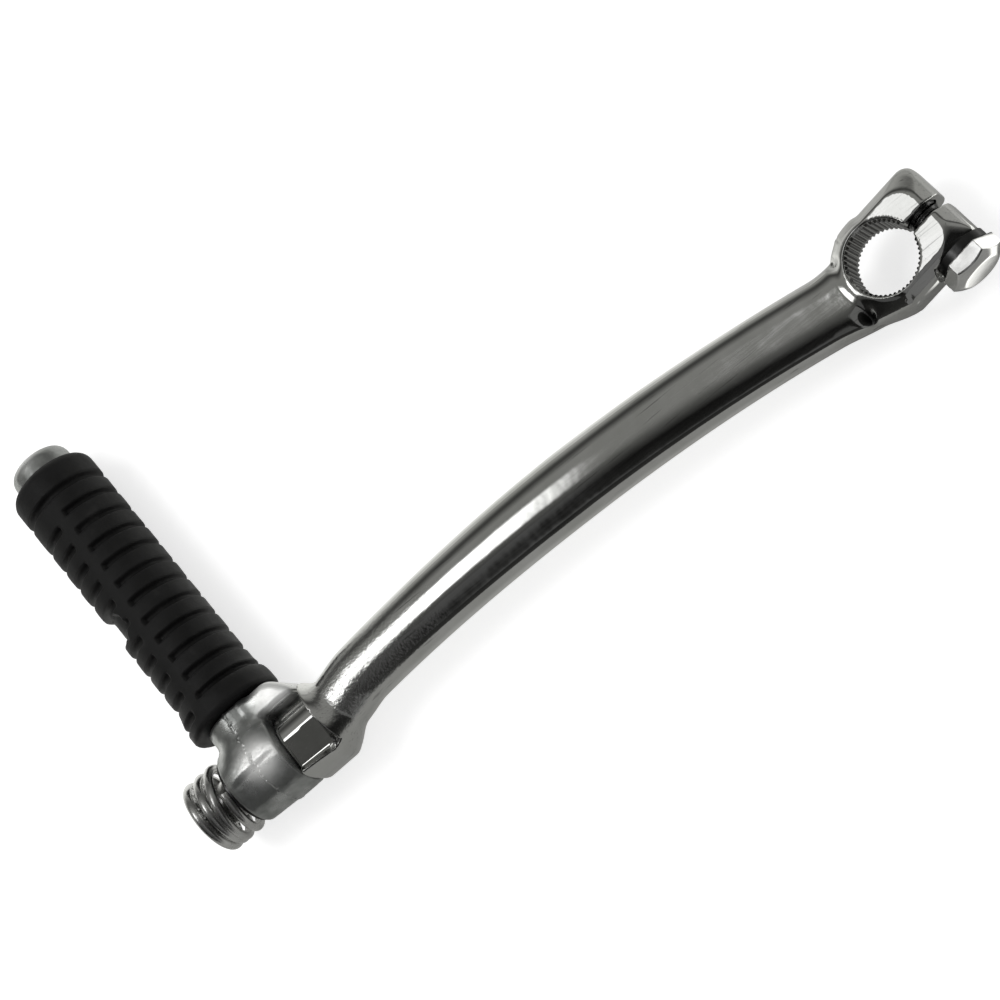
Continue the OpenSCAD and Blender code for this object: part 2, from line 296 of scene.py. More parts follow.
# Paints highlights: paler, less metallic spots on the casting.
def paint_highlights(finish):
    tree = finish.node_tree
    x, y, _ = axes_in_mm(tree)
    nearest = distance(x, y, *HIGHLIGHT_SPOTS[0])
    for spot in HIGHLIGHT_SPOTS[1:]:
        nearest = nearest.math("MINIMUM", distance(x, y, *spot))
    highlight = nearest.step(*HIGHLIGHT_EDGE).flip()
    paint_over(finish, highlight * HIGHLIGHT_SHARE, HIGHLIGHT_TINT)
    metallic = highlight * (HIGHLIGHT_METAL - METAL) + METAL
    set_inputs(tree, tree.nodes["Principled BSDF"], {"Metallic": metallic})


# Paints the shank dark inside the head, as painted shade in the slit and the hole.
def paint_shank_shade(finish):
    _, y, _ = axes_in_mm(finish.node_tree)
    paint_over(finish, y.step(*SHANK_SHADE_EDGE), grey(SHANK_SHADE_LEVEL))


casting_zinc = make_plating("zinc_casting", (0.27, 0.28, 0.27), (0.47, 0.48, 0.47),
                            smooth=0.24, rough=0.36, grain=700, depth=0.08)
paint_highlights(casting_zinc)
plated_steel = make_plating("plated_steel", (0.58, 0.58, 0.57), (0.72, 0.72, 0.71),
                            smooth=0.2, rough=0.32, grain=1800, depth=0.01)
# Painted shade: the two thin washers are painted near black, for the shade in the gaps round them.
painted_shade_steel = make_plating("painted_shade_steel", grey(0.05), grey(0.09),
                          smooth=0.25, rough=0.4, grain=1500, depth=0.03)
bolt_plating = make_plating("bolt_plating", (0.80, 0.80, 0.79), (0.90, 0.90, 0.89),
                            smooth=0.14, rough=0.24, grain=1500, depth=0.01)
paint_shank_shade(bolt_plating)
print("finishes:", casting_zinc.name, plated_steel.name, painted_shade_steel.name, bolt_plating.name)

# %% [markdown]
# The grip is a matte black rubber with a dusty bloom. The bloom shows as a slightly paler,
# rougher mottle, and a fine grain breaks up the highlights.

# %% Black rubber
RUBBER_STOPS = [(0.35, grey(0.006)), (0.62, grey(0.011)), (0.8, (0.024, 0.023, 0.022))]


def make_rubber():
    finish, tree, shader = new_finish("black_rubber")
    place = object_place(tree)
    bloom = noise(tree, place, scale=180, detail=7)
    grain = noise(tree, place, scale=2600, detail=3)
    set_inputs(tree, shader, {
        "Base Color": ramp(tree, bloom, RUBBER_STOPS), "Specular IOR Level": 0.35,
        "Roughness": bloom.remap(0.3, 0.7, 0.5, 0.68),
        "Normal": bump(tree, grain, strength=0.5, depth=0.08)})
    return finish


rubber = make_rubber()
print("finish:", rubber.name)

# %% [markdown]
# A forging has no sharp edges, and its parts flow into each other. Such a form is easy to state
# as a distance: how far a point is outside it. Where two forms meet, a crease rounds the edge
# between them as a soft maximum, and a fillet fills the corner as a soft minimum.

# %% Soft forms
def ease(t):
    u = np.clip(t, 0, 1)
    return u * u * (3 - 2 * u)


def blend_values(a, b, t):
    return a + (b - a) * t


def crease(a, b, soft):
    share = np.clip(0.5 + 0.5 * (a - b) / soft, 0, 1)
    return b + (a - b) * share + soft * share * (1 - share)


def fillet(a, b, soft):
    return -crease(-a, -b, soft)


def rounded_corner(across, along, radius):
    outside = np.hypot(np.maximum(across, 0), np.maximum(along, 0))
    return outside + np.minimum(np.maximum(across, along), 0) - radius


def slope_of(form, points, step=0.02):
    slope = np.empty_like(points)
    for axis in range(3):
        move = np.zeros(3)
        move[axis] = step
        slope[:, axis] = (form(points + move) - form(points - move)) / (2 * step)
    return slope


print("soft forms ready")

# %% [markdown]
# A fine, even mesh is made from the solid, and each of its points is then pulled along the slope
# of the form until its distance is nought. The slope also gives the exact shading normal. A pull
# is never long, so that points near a thin wall don't jump to its other side.

# %% The pull onto a form
PULLS, LONGEST_PULL, LEAST_SLOPE, TINY = 6, 0.6, 0.04, 1e-9
SAME_POINT = 0.002


def settle(piece):
    ready = piece.evaluated_get(bpy.context.evaluated_depsgraph_get())
    mesh = bpy.data.meshes.new_from_object(ready)
    piece.modifiers.clear()
    piece.data = mesh
    return mesh


def points_of(mesh):
    points = np.empty(len(mesh.vertices) * 3)
    mesh.vertices.foreach_get("co", points)
    return points.reshape(-1, 3)


def even_copy(name, node, voxel):
    mesh = nodes[node].data.copy()
    soup = bmesh.new()
    soup.from_mesh(mesh)
    bmesh.ops.remove_doubles(soup, verts=soup.verts, dist=SAME_POINT * MM)
    soup.to_mesh(mesh)
    soup.free()
    piece = add_object(name, mesh)
    remesh = piece.modifiers.new("even_skin", "REMESH")
    remesh.mode, remesh.voxel_size = "VOXEL", voxel * MM
    settle(piece).materials.clear()
    return piece


def pulled_copy(name, node, form, voxel, finish):
    piece = even_copy(name, node, voxel)
    skin = piece.data
    points = points_of(skin) / MM
    for _ in range(PULLS):
        slope = slope_of(form, points)
        steep = np.maximum((slope ** 2).sum(axis=1), LEAST_SLOPE)
        pull = slope * (form(points) / steep)[:, None]
        length = np.maximum(np.linalg.norm(pull, axis=1), TINY)
        points -= pull * np.minimum(1, LONGEST_PULL / length)[:, None]
    slope = slope_of(form, points)
    slope /= np.maximum(np.linalg.norm(slope, axis=1), TINY)[:, None]
    skin.vertices.foreach_set("co", (points * MM).ravel())
    for face in skin.polygons:
        face.use_smooth = True
    skin.update()
    skin.normals_split_custom_set_from_vertices([tuple(normal) for normal in slope])
    skin.materials.append(finish)
    print(name, len(skin.polygons), "faces, largest error",
          round(float(np.abs(form(points)).max()), 3), "mm")
    return piece


print("pull ready")

# %% [markdown]
# The arm's middle line is one long arc, which leaves the pivot boss at a small lean. Its section
# changes from a deep rounded square at the pivot to an oval, and to a flatter bar at the clamp
# head. Each row of SECTIONS gives a place along the arm, half the width, half the thickness, the
# height of the middle and how square the section is: 2 is an ellipse, and a higher number is
# squarer.

# %% The arm's middle line and sections
REACH, BOW, DROP = 177.5, 7.9, 3.6
BOSS_LEN, BLEND_LEN, FLARE_LEN, FLARE_POWER = 10.8, 13, 15.0, 1.7
LEAN, HEAD_MIDDLE, ARM_END = math.radians(2), -0.2, -3.0
ARC_R = ((REACH ** 2 + DROP ** 2) / 4 + BOW ** 2) / (2 * BOW)
ARC_TURN = math.atan(DROP / REACH)
ARC_X = -REACH / 2 - math.sin(ARC_TURN) * (ARC_R - BOW)
ARC_Y = -DROP / 2 - math.cos(ARC_TURN) * (ARC_R - BOW)
ROOT_S = REACH + ARM_END
NECK_S = ROOT_S - FLARE_LEN
SECTIONS = np.array([
    [0, 10.4, 10.8, 0, 3.2],
    [8.8, 10.4, 10.8, 0, 3.2],
    [15.8, 7.5, 6.8, 0, 2.4],
    [92.3, 8.5, 6.5, 0, 2.4],
    [NECK_S, 8.15, 5.5, -0.2, 2.8],
    [ROOT_S, 11.3, 5.5, -0.2, 3.0]])


def arm_flare(s):
    return np.clip((s - NECK_S) / FLARE_LEN, 0, 1) ** FLARE_POWER


def arm_middle(x):
    s = x + REACH
    arc = ARC_Y + np.sqrt(ARC_R ** 2 - (x - ARC_X) ** 2)
    y = blend_values(math.tan(LEAN) * s, arc, ease((s - BOSS_LEN) / BLEND_LEN))
    return blend_values(y, HEAD_MIDDLE, arm_flare(s))


def arm_slope(x):
    return arm_middle(x + 0.5) - arm_middle(x - 0.5)


def arm_section(s):
    values = np.empty((len(s), 4))
    values[:] = SECTIONS[0, 1:]
    spans = list(zip(SECTIONS, SECTIONS[1:]))
    for number, (a, b) in enumerate(spans, 1):
        last = number == len(spans)
        t = arm_flare(s) if last else ease((s - a[0]) / (b[0] - a[0]))
        values = np.where((s > a[0])[:, None], blend_values(a[1:], b[1:], t[:, None]), values)
    return values


print("arc radius", round(ARC_R, 1), "mm")

# %% [markdown]
# The place of a point along the arm is found by a few steps along the middle line. Its distance
# from that line, across and up, then says how far it is outside the section there.

# %% The arm's sweep
FOOT_STEPS, END_CUT, END_SOFT = 3, -1.0, 1.0


def arm_sweep(p):
    x, y, z = p.T
    along = np.clip(x, -REACH, ARM_END)
    for _ in range(FOOT_STEPS):
        slope = arm_slope(along)
        nearer = along + ((x - along) + (y - arm_middle(along)) * slope) / (1 + slope ** 2)
        along = np.clip(nearer, -REACH, ARM_END)
    slope = arm_slope(along)
    across = ((y - arm_middle(along)) - slope * (x - along)) / np.sqrt(1 + slope ** 2)
    wide, thick, height, square = arm_section(along + REACH).T
    round_sum = (np.abs(across) / wide) ** square + (np.abs(z - height) / thick) ** square
    side = (round_sum ** (1 / square) - 1) * np.minimum(wide, thick)
    return crease(side, x - END_CUT, END_SOFT)


print("sweep ready")

# %% [markdown]
# The clamp head is a split block with a flat pad round the bore. The pad's flanks slope down to
# the outline, so a point's height says how far in the outline lies there. Round the bore the
# outline is a circle, and towards the slit it is a box with rounded corners.

# %% The clamp head
HEAD_TURN = math.radians(9)
HEAD_HALF, HEAD_END, HEAD_CORNER, HEAD_TOP, HEAD_FOOT = 12.1, 18.3, 3.0, 6.0, -6.0
FLANK_FOOT, FLANK_RISE, FLANK_SLOPE, UNDER_FLANK = 2.3, 4.0, 0.8, -4.4
END_SLOPE, CORNER_GROWTH = 1.25, 0.9


def head_frame(p):
    x, y, z = p.T
    c, s = math.cos(HEAD_TURN), math.sin(HEAD_TURN)
    return x * c + y * s, -x * s + y * c, z


def head_block(p):
    x, y, z = head_frame(p)
    up = FLANK_SLOPE * fillet(crease(z - FLANK_FOOT, 0, 1.5), FLANK_RISE, 0.5)
    down = crease(UNDER_FLANK - z, 0, 1.0)
    half = HEAD_HALF - up - down
    end = HEAD_END - END_SLOPE * up - down
    corner = HEAD_CORNER + CORNER_GROWTH * up
    box = rounded_corner(x - (end - corner), np.abs(y) - (half - corner), corner)
    return np.where(x > 0, box, np.hypot(x, y) - half)


print("head turned", round(math.degrees(HEAD_TURN)), "degrees")

# %% [markdown]
# The arm and the head are joined with a fillet, and the machining then cuts into them: the bore,
# the slit, the hole and the seat of the bolt. At the pivot the boss keeps a waist, and a stepped
# pocket beside it leaves room for the ear of the pedal. The forging also left two shallow pits
# beside the head. Each row of PITS gives a place, a depth and a width.

# %% The whole lever
JOIN_SOFT, HEAD_FROM = 2.2, -24
BORE_WALL, SLIT_W, BOLT_X, BOLT_HOLE_R, BOLT_HOLE_END = 8.55, 2.8, 12.35, 4.3, 9.6
SEAT_Y, SEAT_R = -10.4, 7.8
WAIST_R, STOP_Y, STOP_LEAN, FLOOR_TILT, PIN_R, PIN_SEAT = 7.6, 8.2, 0.08, 0.16, 5.0, 15.0
PITS = ((-10.0, -7.7, 1.0, 1.8), (-9.5, 6.4, 1.0, 1.3))
CUT_EDGE, DRILLED_EDGE, ROOM_EDGE, PIN_EDGE = 0.5, 0.4, 0.6, 0.1
TOP_EDGE, UNDER_EDGE, FACE_EDGE = 0.7, 0.9, 1.2


def pivot_frame(p):
    x, y, z = p.T
    c, s = math.cos(LEAN), math.sin(LEAN)
    return (x + REACH) * c + y * s, -(x + REACH) * s + y * c, z


def clamp_cuts(form, x, y, z):
    form = crease(form, BORE_WALL - np.hypot(x, y), CUT_EDGE)
    form = crease(form, -np.maximum(np.abs(y) - SLIT_W / 2, -x), CUT_EDGE)
    from_bolt = np.hypot(x - BOLT_X, z)
    form = crease(form, -np.maximum(from_bolt - BOLT_HOLE_R, y - BOLT_HOLE_END), DRILLED_EDGE)
    return crease(form, -np.maximum(from_bolt - SEAT_R, y - SEAT_Y), DRILLED_EDGE)


def boss_cuts(form, a, b, c):
    below = np.maximum(-b, 0)
    deeper = FLOOR_TILT * below * ease((b + 10) / 2)
    waist = np.hypot(np.maximum(b, 0), np.maximum(c + deeper, 0)) - WAIST_R
    room = np.maximum(np.maximum(-waist, -(b + STOP_Y + STOP_LEAN * a)), -(c + STOP_Y))
    room = np.maximum(room, a - BOSS_LEN - FLOOR_TILT * below)
    form = crease(form, -room, ROOM_EDGE)
    return crease(form, -np.maximum(np.hypot(b, c) - PIN_R, a - PIN_SEAT), PIN_EDGE)


def lever_form(p):
    x, y, z = head_frame(p)
    a, b, c = pivot_frame(p)
    form = fillet(arm_sweep(p), head_block(p), JOIN_SOFT)
    capped = crease(crease(form, z - HEAD_TOP, TOP_EDGE), HEAD_FOOT - z, UNDER_EDGE)
    form = clamp_cuts(np.where(x > HEAD_FROM, capped, form), x, y, z)
    form = boss_cuts(form, a, b, c)
    for px, py, depth, width in PITS:
        away = (p[:, 0] - px) ** 2 + (p[:, 1] - py) ** 2
        form = form + depth * np.exp(-away / width ** 2) * (z > 0)
    return crease(form, -a, FACE_EDGE)


arm_piece = pulled_copy("forged_arm", "lever_arm", lever_form, 0.42, chrome)

# %% [markdown]
# The pedal is cast. Its barrel has a rough half and a smoother half towards the spring, and the
# mould left a ragged parting line between them. A block, square below and round above, carries
# the rod with its bright tip, and the ear reaches over the boss of the arm. Sums of sines stand
# in for the lumps of the casting, because they are smooth and cheap to measure.

# %% The shapes of the pedal casting
GRIP_OFF, GRIP_LEAN = 6.3, math.radians(4)
BARREL_R, BARREL_STEP, BARREL_TAPER, BARREL_END, PARTING = 10.38, 0.22, 0.05, -16.5, -7.2
BLOCK_WIDE, BLOCK_TALL, BLOCK_SQUARE = (7.9, 8.7), (10.2, 8.7), (5.0, 2.1)
BLOCK_MIDDLE, BLOCK_FACE = (-2.0, 0.0), 0.2
BLOCK_ROUND_FROM, BLOCK_ROUND_LEN, BLOCK_END = 2, 9, 14.6
EAR_OUT, EAR_FOOT, EAR_TOP, EAR_HALF, EAR_ROOT = 10.2, 8.0, 14.5, 8.0, -3.0
EAR_CUT, EAR_CUT_AT = (0.735, 0.678), (10.2, 9.4)
ROD_R, ROD_FROM, ROD_END, TIP_R, TIP_FROM, TIP_END, TIP_ROUND = 6.2, 9, 93, 7.9, 92.05, 97.8, 3.0


def grip_frame(p):
    a, b, c = pivot_frame(p)
    cs, sn = math.cos(GRIP_LEAN), math.sin(GRIP_LEAN)
    return (a + GRIP_OFF) * cs + b * sn, -(a + GRIP_OFF) * sn + b * cs, c


def lumps(p, size, seed):
    x, y, z = (p / size + seed).T
    return (np.sin(x * 1.7 + np.sin(y * 2.3)) + np.sin(y * 1.9 + np.sin(z * 2.9))
            + np.sin(z * 2.1 + np.sin(x * 1.3))) / 3


def block_shape(across, along, c):
    t = ease((along - BLOCK_ROUND_FROM) / BLOCK_ROUND_LEN)
    half_x, half_z = blend_values(*BLOCK_WIDE, t), blend_values(*BLOCK_TALL, t)
    square, middle = blend_values(*BLOCK_SQUARE, t), blend_values(*BLOCK_MIDDLE, t)
    sum_xz = (np.abs(across - middle) / half_x) ** square + (np.abs(c) / half_z) ** square
    side = (sum_xz ** (1 / square) - 1) * np.minimum(half_x, half_z)
    return crease(crease(side, along - BLOCK_END, 0.8), -along, 1.0)


def ear_shape(a, b, c):
    slope = EAR_CUT[0] * (a - EAR_CUT_AT[0]) + EAR_CUT[1] * (b - EAR_CUT_AT[1])
    outer = crease(a - EAR_OUT, slope, 2.0)
    ear = crease(outer, crease(b - EAR_TOP, EAR_FOOT - b, 0.6), 1.6)
    return crease(crease(ear, np.abs(c) - EAR_HALF, 1.8), EAR_ROOT - a, 0.5)


def rod_shape(across, along, c):
    rod_r = np.hypot(across, c)
    rod = np.maximum(rod_r - ROD_R, np.maximum(ROD_FROM - along, along - ROD_END))
    tip = rounded_corner(rod_r - (TIP_R - TIP_ROUND), along - (TIP_END - TIP_ROUND), TIP_ROUND)
    return np.minimum(rod, crease(tip, TIP_FROM - along, 0.5))


print("casting shapes ready")

# %% [markdown]
# The shapes are joined with fillets, as the metal would fill the corners of a mould. The parting
# line is a low ridge that wanders with the lumps, and the pin's hole goes through last.

# %% The whole casting
PIN_HOLE_R, RIDGE, RIDGE_HALF, RIDGE_TO = 5.06, 0.16, 0.35, 20
COARSE_LUMPS, FINE_LUMPS, LUMPS_FROM = 0.04, 0.012, -1.5


def casting_form(p):
    a, b, c = pivot_frame(p)
    across, along, _ = grip_frame(p)
    wander = 0.5 * lumps(p, 1.1, 3.0)
    past_line = PARTING + wander - a
    smooth_half = ease(past_line / 0.7)
    radius = BARREL_R - BARREL_STEP * smooth_half - BARREL_TAPER * np.maximum(past_line, 0)
    barrel = crease(np.hypot(b, c) - radius, BARREL_END - a, 1.1)
    body = crease(fillet(barrel, block_shape(across, along, c), 1.2), a + BLOCK_FACE, 0.8)
    form = fillet(fillet(body, ear_shape(a, b, c), 1.2), rod_shape(across, along, c), 0.4)
    ridge = RIDGE * np.exp(-(past_line / RIDGE_HALF) ** 2) * (0.6 + lumps(p, 0.35, 9.0))
    rough = COARSE_LUMPS * lumps(p, 1.6, 1.0) * (1 - smooth_half) + FINE_LUMPS * lumps(p, 0.7, 5.0)
    form = form - np.where(along < RIDGE_TO, ridge, 0) + np.where(form > LUMPS_FROM, rough, 0)
    return crease(form, PIN_HOLE_R - np.hypot(b, c), PIN_EDGE)


casting_piece = pulled_copy("cast_pedal", "pedal_casting", casting_form, 0.34, casting_zinc)

# %% [markdown]
# The pinch bolt pulls the split head together. Its hexagon has a turned bevel on the end, and its
# thread shows in the slit. The thread is one more distance: a zigzag along the bolt that moves on
# by one pitch in each turn, which is simpler than sweeping a profile along a helix.

# %% The pinch bolt
BOLT_UNDER, BOLT_HEAD, BOLT_FLATS, BEVEL_FROM, BEVEL_SLOPE = -12.5, 4.8, 6.5, 4.9, 0.65
FLAT_TURNS = ((0, 1), (0.866, 0.5), (0.866, -0.5))
SHANK_R, SHANK_FOOT, SHANK_END, PITCH, THREAD_DEPTH, THREAD_FROM = 4.0, -13, 9.6, 1.25, 0.45, -4


def bolt_form(p):
    x, y, z = head_frame(p)
    u = x - BOLT_X
    radius = np.hypot(u, z)
    flats = np.maximum.reduce([np.abs(c * u + s * z) for c, s in FLAT_TURNS])
    bevel = BEVEL_SLOPE * (radius - BEVEL_FROM) - (y - BOLT_UNDER + BOLT_HEAD)
    ends = crease(y - BOLT_UNDER, BOLT_UNDER - BOLT_HEAD - y, 0.3)
    hexagon = crease(crease(flats - BOLT_FLATS, bevel, 0.3), ends, 0.3)
    phase = y / PITCH + np.arctan2(z, u) / (2 * math.pi)
    zigzag = THREAD_DEPTH * np.abs(2 * (phase - np.floor(phase)) - 1)
    side = radius - SHANK_R + zigzag * ease((y - THREAD_FROM) / 2)
    shank = np.maximum(side, np.maximum(y - SHANK_END, SHANK_FOOT - y))
    return fillet(hexagon, shank, 0.2)


bolt_piece = pulled_copy("hex_bolt", "pinch_bolt", bolt_form, 0.26, bolt_plating)

# %% [markdown]
# Shapes that follow a rule are left to Geometry Nodes. The first helper starts a node group with
# named inputs for its sizes. The second one ends it, runs it once with those sizes and keeps the
# mesh that it makes. A mesh whose volume comes out negative is inside out, so it is flipped.

# %% Node groups
def new_shape(name, sizes):
    tree = bpy.data.node_groups.new(name, "GeometryNodeTree")
    tree.interface.new_socket("Geometry", in_out="OUTPUT", socket_type="NodeSocketGeometry")
    for label, value in sizes.items():
        kind = "NodeSocketInt" if isinstance(value, int) else "NodeSocketFloat"
        tree.interface.new_socket(label, in_out="INPUT", socket_type=kind)
    source = tree.nodes.new("NodeGroupInput")
    return tree, {label: Field(tree, source.outputs[label]) for label in sizes}


def grown_piece(name, tree, sizes, geometry, finish):
    real = add_node(tree, "GeometryNodeRealizeInstances", {"Geometry": geometry})
    dressed = add_node(tree, "GeometryNodeSetMaterial", {"Geometry": real.outputs[0],
                                                         "Material": finish})
    add_node(tree, "NodeGroupOutput", {"Geometry": dressed.outputs[0]})
    piece = add_object(name, bpy.data.meshes.new(name))
    grow = piece.modifiers.new("rule", "NODES")
    grow.node_group = tree
    for item in tree.interface.items_tree:
        if item.in_out == "INPUT":
            grow[item.identifier] = sizes[item.name]
    mesh = settle(piece)
    mesh.calc_loop_triangles()
    corners = np.array([triangle.vertices for triangle in mesh.loop_triangles])
    a, b, c = (points_of(mesh)[corners[:, k]] for k in range(3))
    if np.einsum("ij,ij->i", a, np.cross(b, c)).sum() < 0:
        mesh.flip_normals()
    print(name, len(corners), "triangles from", sizes)
    return piece


def shade_smooth(tree, geometry):
    return add_node(tree, "GeometryNodeSetShadeSmooth", {"Geometry": geometry}).outputs[0]


print("node group helpers ready")

# %% [markdown]
# The rubber's outside carries three kinds of cut. Grooves repeat at one pitch on both sides of
# two smooth, twisted ribs, and on the left side they are shifted, wider and worn. A ring goes
# round near the tip, and a worn patch has lost a chip. Each cut is a field that says how deep it
# is at a point.

# %% The cuts in the rubber
GRIP_SIZES = {"Pitch": 5.7, "Depth": 1.6, "Width": 1.8, "Rib": 3.3, "Wear": 0.15, "Chip": 1.7,
              "Turns": 208, "Rows": 390}
FOOT, TIP, RING_AT, GROOVES = 14.9, 92.0, 83.8, 11
RIB_R, RIB_TWIST, RIB_START = 11.2, 18, -15
LEFT_SHIFT, LEFT_WIDER = 2.3, 1.15
CHIP_TURN, CHIP_AT, CHIP_HALF = math.radians(-68), 49.0, 5.6


def grooves(along, size, shift, wider):
    phase = (along * -1.0 + (RING_AT - shift)) / size["Pitch"]
    nearest = phase.math("ROUND")
    off = (phase - nearest).math("ABSOLUTE") * size["Pitch"]
    inside = off.step(size["Width"] * 0.26 * wider, size["Width"] * 0.60 * wider).flip()
    worn = (off / size["Pitch"] * 2.0).flip().math("POWER", 2.0)
    real = nearest.math("GREATER_THAN", 0.5) * nearest.math("LESS_THAN", GROOVES + 0.5)
    return inside * real, worn * real


def cut_depth(turn, along, uneven, size):
    rib_turn = (along.clamp(FOOT, TIP) * RIB_TWIST + RIB_START) * math.radians(1)
    from_rib = (turn - rib_turn).math("SINE")
    beside_rib = (from_rib.math("ABSOLUTE") * RIB_R - size["Rib"] * 0.5).step(-0.25, 0.35)
    on_right = from_rib.math("GREATER_THAN", 0.0)
    on_left = on_right.flip()
    right, _ = grooves(along, size, 0.0, 1.0)
    left, scallop = grooves(along, size, LEFT_SHIFT, LEFT_WIDER)
    cuts = (right * on_right + left * on_left) * beside_rib * size["Depth"]
    cuts = cuts + scallop * on_left * beside_rib * size["Wear"]
    ring = (along - RING_AT).math("ABSOLUTE").step(0.5, 1.25).flip() * size["Depth"]
    chip_side = (turn - CHIP_TURN).math("COSINE").clamp(0.55, 1.0)
    chip_length = (along - CHIP_AT).math("ABSOLUTE").clamp(0.0, CHIP_HALF).flip()
    chip = (chip_side * chip_length + uneven * 0.7).step(0.15, 0.45) * size["Chip"]
    return cuts.math("MAXIMUM", ring).math("MAXIMUM", chip)


print("grooves on each side:", GROOVES)

# %% [markdown]
# The sleeve itself starts as a flat grid. One direction of the grid becomes the turn about the
# rod. The other one runs up the foot's face, along the outside, down the tip's face and back
# through the hole, so that one sheet makes the whole closed sleeve. The cuts are taken off the
# outer radius.

# %% The rubber grip
OUTER_R, HOLE_R, FOOT_ROUND, TIP_ROUND_R = 11.12, 6.3, 1.0, 2.6
COLLAR, COLLAR_ENDS, LUMP = 1.2, (FOOT + 3, FOOT + 9), 0.22
FOOT_ROWS, OUTSIDE_ROWS = (0.0, 0.03), (0.03, 0.96)
TIP_ROWS, HOLE_ROWS = (0.96, 0.985), (0.985, 1.0)
SKIN_GRAIN, SKIN_ROUND = 0.22, 2.4
GRIP_TURN = LEAN + GRIP_LEAN
GRIP_X, GRIP_Y = -REACH - GRIP_OFF * math.cos(LEAN), -GRIP_OFF * math.sin(LEAN)


def quarter_round(share, radius):
    return (share * share).flip().math("SQRT").flip() * radius


def grow_grip():
    tree, size = new_shape("grip_rule", GRIP_SIZES)
    grid = add_node(tree, "GeometryNodeMeshGrid", {"Vertices X": size["Turns"],
                                                   "Vertices Y": size["Rows"]})
    flat = tree.nodes.new("GeometryNodeInputPosition").outputs[0]
    across, row, _ = (axis + 0.5 for axis in axes(tree, flat))
    turn = across * (2 * math.pi)
    along = (row.clamp(*OUTSIDE_ROWS) - row.clamp(*HOLE_ROWS)) * (TIP - FOOT) + FOOT
    sine, cosine = turn.math("SINE"), turn.math("COSINE")
    skin = vector_of(tree, along * SKIN_GRAIN, sine * SKIN_ROUND, cosine * SKIN_ROUND)
    uneven = noise(tree, skin, 1, 3) - 0.5

    collar = along.step(*COLLAR_ENDS).flip() * COLLAR
    foot_drop = quarter_round(along.clamp(FOOT, FOOT + FOOT_ROUND).flip(), FOOT_ROUND)
    tip_drop = quarter_round(along.clamp(TIP - TIP_ROUND_R, TIP), TIP_ROUND_R)
    outside = collar + OUTER_R - foot_drop - tip_drop + uneven * LUMP
    outside = outside - cut_depth(turn, along, uneven, size)
    standing = row.clamp(*FOOT_ROWS) * row.clamp(*TIP_ROWS).flip()
    radius = (outside - HOLE_R) * standing + HOLE_R

    cs, sn = math.cos(GRIP_TURN) * MM, math.sin(GRIP_TURN) * MM
    side = radius * sine
    place = vector_of(tree, side * cs - along * sn + GRIP_X * MM,
                      side * sn + along * cs + GRIP_Y * MM, radius * cosine * MM)
    moved = add_node(tree, "GeometryNodeSetPosition", {"Geometry": grid.outputs["Mesh"],
                                                       "Position": place})
    joined = add_node(tree, "GeometryNodeMergeByDistance", {"Geometry": moved.outputs[0],
                                                            "Distance": SAME_POINT * MM})
    return grown_piece("rubber_sleeve", tree, GRIP_SIZES, shade_smooth(tree, joined.outputs[0]),
                       rubber)


grip_piece = grow_grip()

# %% [markdown]
# The spring is a round wire swept along a circle that climbs. The coils lie flat on the side that
# is seen and climb on the hidden side. The turns, the gaps and the wire are the inputs. It is
# made about the Z axis and then laid along the pivot pin.

# %% The coil spring
SPRING_SIZES = {"Turns": 2.3, "First Gap": 1.15, "Pitch": 3.4, "Tail": 1.75, "Radius": 8.5,
                "Wire": 1.15}
SPRING_FAR, SPRING_START = -25.7, 200
STEPS_IN_TURN, WIRE_SIDES = 96, 28


def grow_spring():
    tree, size = new_shape("spring_rule", SPRING_SIZES)
    radius = size["Radius"] * MM
    circle = add_node(tree, "GeometryNodeCurveSpiral", {
        "Resolution": STEPS_IN_TURN, "Rotations": size["Turns"], "Start Radius": radius,
        "End Radius": radius, "Height": 0.0})
    share = Field(tree, tree.nodes.new("GeometryNodeSplineParameter").outputs["Factor"])
    turn = share * size["Turns"]
    climb = turn.step(0.0, 0.5) * size["First Gap"] + turn.step(1.0, 1.5) * size["Pitch"]
    climb = climb + turn.step(2.0, 2.3) * size["Tail"]
    raised = add_node(tree, "GeometryNodeSetPosition", {
        "Geometry": circle.outputs["Curve"], "Offset": vector_of(tree, 0.0, 0.0, climb * MM)})
    wire = add_node(tree, "GeometryNodeCurvePrimitiveCircle", {
        "Resolution": WIRE_SIDES, "Radius": size["Wire"] * MM})
    swept = add_node(tree, "GeometryNodeCurveToMesh", {
        "Curve": raised.outputs[0], "Profile Curve": wire.outputs["Curve"], "Fill Caps": True})
    return grown_piece("spring_coil", tree, SPRING_SIZES, shade_smooth(tree, swept.outputs["Mesh"]),
                       plated_steel)


def turned(degrees, axis):
    return Matrix.Rotation(math.radians(degrees), 4, axis)


def to_pivot(piece, matrix):
    at_pivot = Matrix.Translation((-REACH * MM, 0, 0)) @ Matrix.Rotation(LEAN, 4, "Z")
    piece.data.transform(at_pivot @ matrix)


spring_piece = grow_spring()
far = Matrix.Translation(((SPRING_FAR + SPRING_SIZES["Wire"]) * MM, 0, 0))
to_pivot(spring_piece, far @ turned(SPRING_START, "X") @ turned(90, "Y") @ turned(90, "Z"))
print("spring box", [round(v, 4) for v in spring_piece.dimensions])

# %% [markdown]
# The bore is cut with fine straight serrations. One tooth is made from its given corners and
# repeated round the bore, and the teeth that would stand in the slit are left out. Each row of
# TOOTH gives the radius, half the width and half the height of one end of the tooth, from its root
# to its tip.

# %% The serrations of the bore
SERRATION_SIZES = {"Teeth": 48, "Slit Teeth": 2}
TOOTH = ((8.62, 0.53, 5.5), (8.02, 0.14, 4.9))


